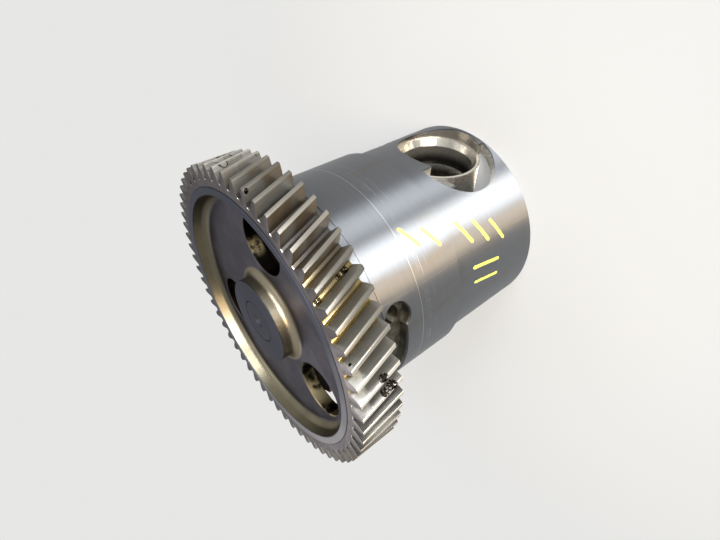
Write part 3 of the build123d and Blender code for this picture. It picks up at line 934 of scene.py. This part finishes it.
        # Painted glints: the front halves of the flanks in one band of angles are lightened to the worn
        # colour.
        swept = graph.plus(graph.z, graph.times(graph.noise(scale=0.30, seed=4.0), self.flank_glint_wander))
        flank_glints = graph.times(graph.band(angle, *self.flank_glint_deg, soft=3.0), graph.step(swept, *self.flank_glint_z))
        tone = graph.mix(graph.times(flank_glints, self.flank_glint_share), tone, self.worn)
        ragged = graph.times(graph.noise(scale=0.25, detail=2.0, seed=2.0), self.root_wander)
        root = graph.fade(graph.plus(radius, ragged), *self.root_radii)
        golden = graph.times(root, graph.band(angle, *self.golden_deg, soft=5.0))
        tone = graph.shade(graph.blend(root, 1.0, self.root_level), tone)
        # Painted light and shade on the tip lands, by angle about the shaft.
        tip = graph.shade(graph.curve(angle, self.tip_painted_shading), self.tip)
        tone = graph.mix(graph.step(radius, *self.tip_radii), tone, tip)
        # Painted glints: small bright dots where each root meets the front face.
        root_glint = graph.band(radius, *self.root_glint_radii, soft=0.12)
        root_glint = graph.times(root_glint, graph.step(graph.z, *self.root_glint_z))
        return graph.mix(golden, graph.mix(root_glint, tone, self.glint), self.oil), golden

    def grime_mask(self, graph: Graph) -> Socket:
        """Returns the mask of the black grime in a few gaps between teeth.

        Args:
            graph: the material that is being written.

        Returns:
            The mask socket.
        """
        core, reach = self.grime_radii
        balls = [graph.near(centre, core * size, reach * size) for centre, size in self.grime_spots]
        broken = graph.plus(graph.patches(self.grime_patches), self.grime_least)
        return graph.step(graph.times(graph.either(balls), broken), low=0.34, high=0.46)


@dataclass(frozen=True)
class Lamp:
    """One soft lamp that points at the middle of the pump, with angles in degrees and sizes in metres."""

    name: str
    azimuth: float
    height: float
    reach: float
    size: Span
    watts: float
    colour: Colour = WHITE
    target: Point = (0.0, 0.0, 0.09)

    def build(self) -> None:
        """Adds the lamp to the scene."""
        data = bpy.data.lights.new(self.name, "AREA")
        data.shape = "RECTANGLE"
        data.size, data.size_y = self.size
        data.energy = self.watts
        data.color = self.colour
        lamp = bpy.data.objects.new(self.name, data)
        turn, rise = math.radians(self.azimuth), math.radians(self.height)
        away = Vector((math.cos(turn) * math.cos(rise), math.sin(turn) * math.cos(rise), math.sin(rise)))
        lamp.location = Vector(self.target) + away * self.reach
        lamp.rotation_euler = away.to_track_quat("Z", "Y").to_euler()
        lamp.visible_camera = False
        bpy.context.scene.collection.objects.link(lamp)


@dataclass
class Studio:
    """The pale floor, the soft lamps and the camera at the photograph's viewing angle."""

    pale: Colour = (0.80, 0.80, 0.79)
    floor_size: float = 12.0
    floor_rough: float = 0.9
    plain_near: float = 0.35
    fade_from: float = 0.09
    fade_to: float = 0.32
    room_light: float = 0.30
    lamps: tuple[Lamp, ...] = (
        Lamp("main_strip", -44.0, 12.0, 1.60, (0.80, 0.92), 56.0),
        Lamp("warm_strip", -70.0, 12.0, 1.70, (0.48, 0.92), 17.5, (1.0, 0.74, 0.46)),
        Lamp("side_box", -7.0, 12.0, 1.90, (0.76, 0.92), 23.0, (0.94, 0.97, 1.0)),
        Lamp("back_fill", 150.0, 42.0, 1.20, (0.50, 0.50), 0.8),
        Lamp("top_box", 60.0, 76.0, 1.20, (0.60, 0.60), 1.2),
    )
    eye: Vector = field(default_factory=lambda: Vector((0.1799, -0.1534, 0.2141)))
    ahead: Vector = field(default_factory=lambda: Vector((-0.67033, 0.56011, -0.48676)))
    right: Vector = field(default_factory=lambda: Vector((0.01468, -0.64582, -0.76335)))
    up: Vector = field(default_factory=lambda: Vector((0.74192, 0.51884, -0.42469)))
    lens_mm: float = 23.325
    sensor_mm: float = 36.0
    clip_start: float = 0.01

    def floor(self) -> None:
        """Adds the floor, which isn't part of the object. Far out it fades to the plain background."""
        mesh = bmesh.new()
        bmesh.ops.create_grid(mesh, x_segments=1, y_segments=1, size=self.floor_size / 2)
        floor = new_object("floor", mesh)
        graph = Graph("pale_floor")
        graph.give("Base Color", self.pale)
        graph.give("Roughness", self.floor_rough)
        glow = graph.node("Emission")
        graph.put(glow.inputs["Color"], self.pale)
        far = graph.step(graph.around(), self.fade_from / MM, self.fade_to / MM, self.plain_near, 1.0)
        seen = graph.times(far, seen_rays(graph.tree))
        mixer = graph.node("MixShader")
        for socket, value in zip(mixer.inputs, (seen, graph.shader.outputs[0], glow.outputs[0])):
            graph.put(socket, value)
        graph.put(graph.output.inputs[0], mixer.outputs[0])
        floor.data.materials.append(graph.material)

    def world(self) -> None:
        """Lights the room softly and shows the floor's pale colour behind the pump."""
        world = bpy.data.worlds.new("studio")
        world.use_nodes = True
        bpy.context.scene.world = world
        tree = world.node_tree
        back = tree.nodes["Background"]
        strength = tree.nodes.new("ShaderNodeMapRange")
        strength.inputs["To Min"].default_value = self.room_light
        strength.inputs["To Max"].default_value = 1.0
        tree.links.new(seen_rays(tree), strength.inputs["Value"])
        tree.links.new(strength.outputs[0], back.inputs["Strength"])
        back.inputs["Color"].default_value = (*self.pale, 1.0)

    def camera(self) -> None:
        """Adds the camera, placed as the photographer stood."""
        data = bpy.data.cameras.new("camera")
        data.lens = self.lens_mm
        data.sensor_width = self.sensor_mm
        data.clip_start = self.clip_start
        camera = bpy.data.objects.new("camera", data)
        turn = Matrix((self.right, self.up, -self.ahead)).transposed()
        camera.matrix_world = Matrix.Translation(self.eye) @ turn.to_4x4()
        bpy.context.scene.collection.objects.link(camera)
        bpy.context.scene.camera = camera

    def build(self) -> None:
        """Makes the floor, the world, the lamps and the camera."""
        self.floor()
        self.world()
        for lamp in self.lamps:
            lamp.build()
        self.camera()
        bpy.context.scene.view_settings.view_transform = "Standard"


def seen_rays(tree: bpy.types.NodeTree) -> Socket:
    """Returns 1 for the rays of the camera, of gloss and of glass.

    Args:
        tree: the node tree that needs them.

    Returns:
        The mask socket.
    """
    path = tree.nodes.new("ShaderNodeLightPath")
    seen = path.outputs["Is Camera Ray"]
    for name in ("Is Glossy Ray", "Is Transmission Ray"):
        larger = tree.nodes.new("ShaderNodeMath")
        larger.operation = "MAXIMUM"
        tree.links.new(seen, larger.inputs[0])
        tree.links.new(path.outputs[name], larger.inputs[1])
        seen = larger.outputs[0]
    return seen


def new_object(name: str, mesh: bmesh.types.BMesh) -> bpy.types.Object:
    """Puts a new object in the scene and frees the mesh it was built from.

    Args:
        name: the object's name.
        mesh: the finished mesh.

    Returns:
        The object, at the origin.
    """
    data = bpy.data.meshes.new(name)
    mesh.to_mesh(data)
    mesh.free()
    made = bpy.data.objects.new(name, data)
    bpy.context.scene.collection.objects.link(made)
    return made


def merged_copy(part: Part, gap: float) -> bmesh.types.BMesh:
    """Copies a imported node's mesh and merges its doubles.

    Args:
        part: the node.
        gap: how far apart two points may lie and still be merged, in metres.

    Returns:
        The copy.
    """
    mesh = bmesh.new()
    mesh.from_mesh(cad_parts[part.value].data)
    bmesh.ops.remove_doubles(mesh, verts=mesh.verts, dist=gap)
    return mesh


def dress(part: Part, material: bpy.types.Material) -> None:
    """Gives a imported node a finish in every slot.

    Args:
        part: the node.
        material: its finish.
    """
    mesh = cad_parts[part.value].data
    for index in range(len(mesh.materials)):
        mesh.materials[index] = material
    if not mesh.materials:
        mesh.materials.append(material)
    log.info("dressed %s", part.value)


@dataclass
class Castings:
    """The front cover, the gear case and the rear housing."""

    cover: CastingFinish = CastingFinish(
        "cover_turned", 60.4, inside_oil_and_shade=(0.060, 0.056, 0.042), inside_light=(0.160, 0.150, 0.115)
    )
    case: CastingFinish = CastingFinish(
        "case_turned",
        61.0,
        strokes=(
            PaintStroke((-35.0, 88.0), (-45.0, 82.0), 1.1),
            PaintStroke((-39.5, 76.5), (-49.5, 70.5), 1.1),
        ),
    )
    housing: RearCasting = RearCasting(
        "housing_turned",
        58.6,
        strokes=(
            PaintStroke((-45.0, 54.0), (-57.0, 48.0), 1.2),
            PaintStroke((-48.5, 42.5), (-60.5, 36.5), 1.2),
            PaintStroke((-52.5, 31.0), (-64.0, 25.0), 1.1),
            PaintStroke((-71.0, 50.0), (-74.0, 31.0), 1.1),
            PaintStroke((-80.0, 49.5), (-83.0, 31.5), 1.0),
        ),
    )

    def build(self) -> None:
        """Dresses the three castings."""
        dress(Part.COVER, self.cover.make())
        dress(Part.CASE, self.case.make())
        dress(Part.HOUSING, self.housing.make())


@dataclass
class GearTrain:
    """The drive gear with its softened teeth, its shaft and the pumping gears."""

    gear: GearSteel = GearSteel("gear_steel_worn")
    ground: PlainSteel = PlainSteel(
        "shaft_ground",
        (0.078, 0.080, 0.094),
        oil=(0.05, 0.042, 0.03),
        film=0.15,
        edge_tint=(0.45, 0.45, 0.47),
        centre_shade_radius=2.1,
    )
    oily: PlainSteel = PlainSteel("pump_gear_oily", (0.33, 0.31, 0.28), film=0.7)
    merge_gap: float = 0.002 * MM
    flat_deg: float = 0.4
    edge_round: float = 0.16 * MM
    edge_segments: int = 2
    teeth_from: float = 74.6 * MM
    sharp_deg: float = 34.0

    def toothed_gear(self) -> bpy.types.Object:
        """Makes the drive gear with the edges of its teeth rounded.

        Returns:
            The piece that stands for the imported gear.
        """
        mesh = merged_copy(Part.GEAR, self.merge_gap)
        flat = math.radians(self.flat_deg)
        bmesh.ops.dissolve_limit(mesh, angle_limit=flat, verts=mesh.verts, edges=mesh.edges)
        sharp = [edge for edge in mesh.edges if self.is_tooth_edge(edge)]
        bmesh.ops.bevel(
            mesh,
            geom=sharp,
            offset=self.edge_round,
            offset_type="OFFSET",
            segments=self.edge_segments,
            profile=0.5,
            affect="EDGES",
            clamp_overlap=False,
            material=-1,
        )
        for face in mesh.faces:
            face.smooth = True
        for edge in mesh.edges:
            edge.smooth = edge.calc_face_angle(0.0) < math.radians(self.sharp_deg)
        gear = new_object("drive_gear_rounded", mesh)
        log.info("drive gear: %d edges rounded", len(sharp))
        return gear

    def is_tooth_edge(self, edge: bmesh.types.BMEdge) -> bool:
        """Tells whether an edge is a sharp one of a tooth.

        Args:
            edge: an edge of the gear.

        Returns:
            True for an edge that gets rounded.
        """
        if edge.calc_face_angle(0.0) < math.radians(self.sharp_deg):
            return False
        return all(math.hypot(point.co.x, point.co.y) > self.teeth_from for point in edge.verts)

    def build(self) -> None:
        """Rounds the drive gear's teeth and dresses the turning pieces."""
        gear = self.toothed_gear()
        gear.data.materials.append(self.gear.make())
        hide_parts(Part.GEAR.value)
        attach(gear, "rotor")
        dress(Part.GEAR, gear.data.materials[0])
        steel = self.ground.make()
        for part in (Part.SHAFT, Part.KEY, Part.IDLER, Part.DOWELS, Part.PLUNGER, Part.PLUG):
            dress(part, steel)
        oily = self.oily.make()
        for part in (Part.PUMP_DRIVE, Part.PUMP_DRIVEN):
            dress(part, oily)


@dataclass
class SmallPieces:
    """The bushes, the washer, the bolts and the relief valve's wire pieces."""

    bronze: PlainSteel = PlainSteel("bronze_oily", (0.50, 0.34, 0.16), film=0.5)
    bolt: PlainSteel = PlainSteel("bolt_black", (0.10, 0.085, 0.07), rough=0.4, film=0.8)
    wire: PlainSteel = PlainSteel("spring_wire", (0.26, 0.26, 0.27), rough=0.35)
    relief_travel: float = 8.0 * MM
    merge_gap: float = 0.001 * MM

    def pressed_spring(self, finish: bpy.types.Material) -> None:
        """Adds a smooth copy of the relief valve's spring, which moves with the housing.

        Args:
            finish: the wire's finish.
        """
        mesh = merged_copy(Part.SPRING, self.merge_gap)
        for face in mesh.faces:
            face.smooth = True
        spring = new_object("relief_spring_wire", mesh)
        spring.data.materials.append(finish)
        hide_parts(Part.SPRING.value)
        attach(spring, "housing")
        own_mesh(spring)

    def build(self) -> None:
        """Dresses the small pieces."""
        bronze = self.bronze.make()
        for part in (Part.DRIVEN_BUSH, Part.FRONT_BUSH, Part.REAR_BUSH, Part.WASHER):
            dress(part, bronze)
        dress(Part.BOLTS, self.bolt.make())
        wire = self.wire.make()
        for part in (Part.SPRING, Part.CIRCLIP):
            dress(part, wire)
        self.pressed_spring(wire)


def main() -> None:
    """Builds the studio and dresses the pump, in order."""
    logging.basicConfig(level=logging.INFO, format="%(message)s")
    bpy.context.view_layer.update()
    Studio().build()
    Castings().build()
    GearTrain().build()
    SmallPieces().build()


if __name__ == "__main__":
    main()
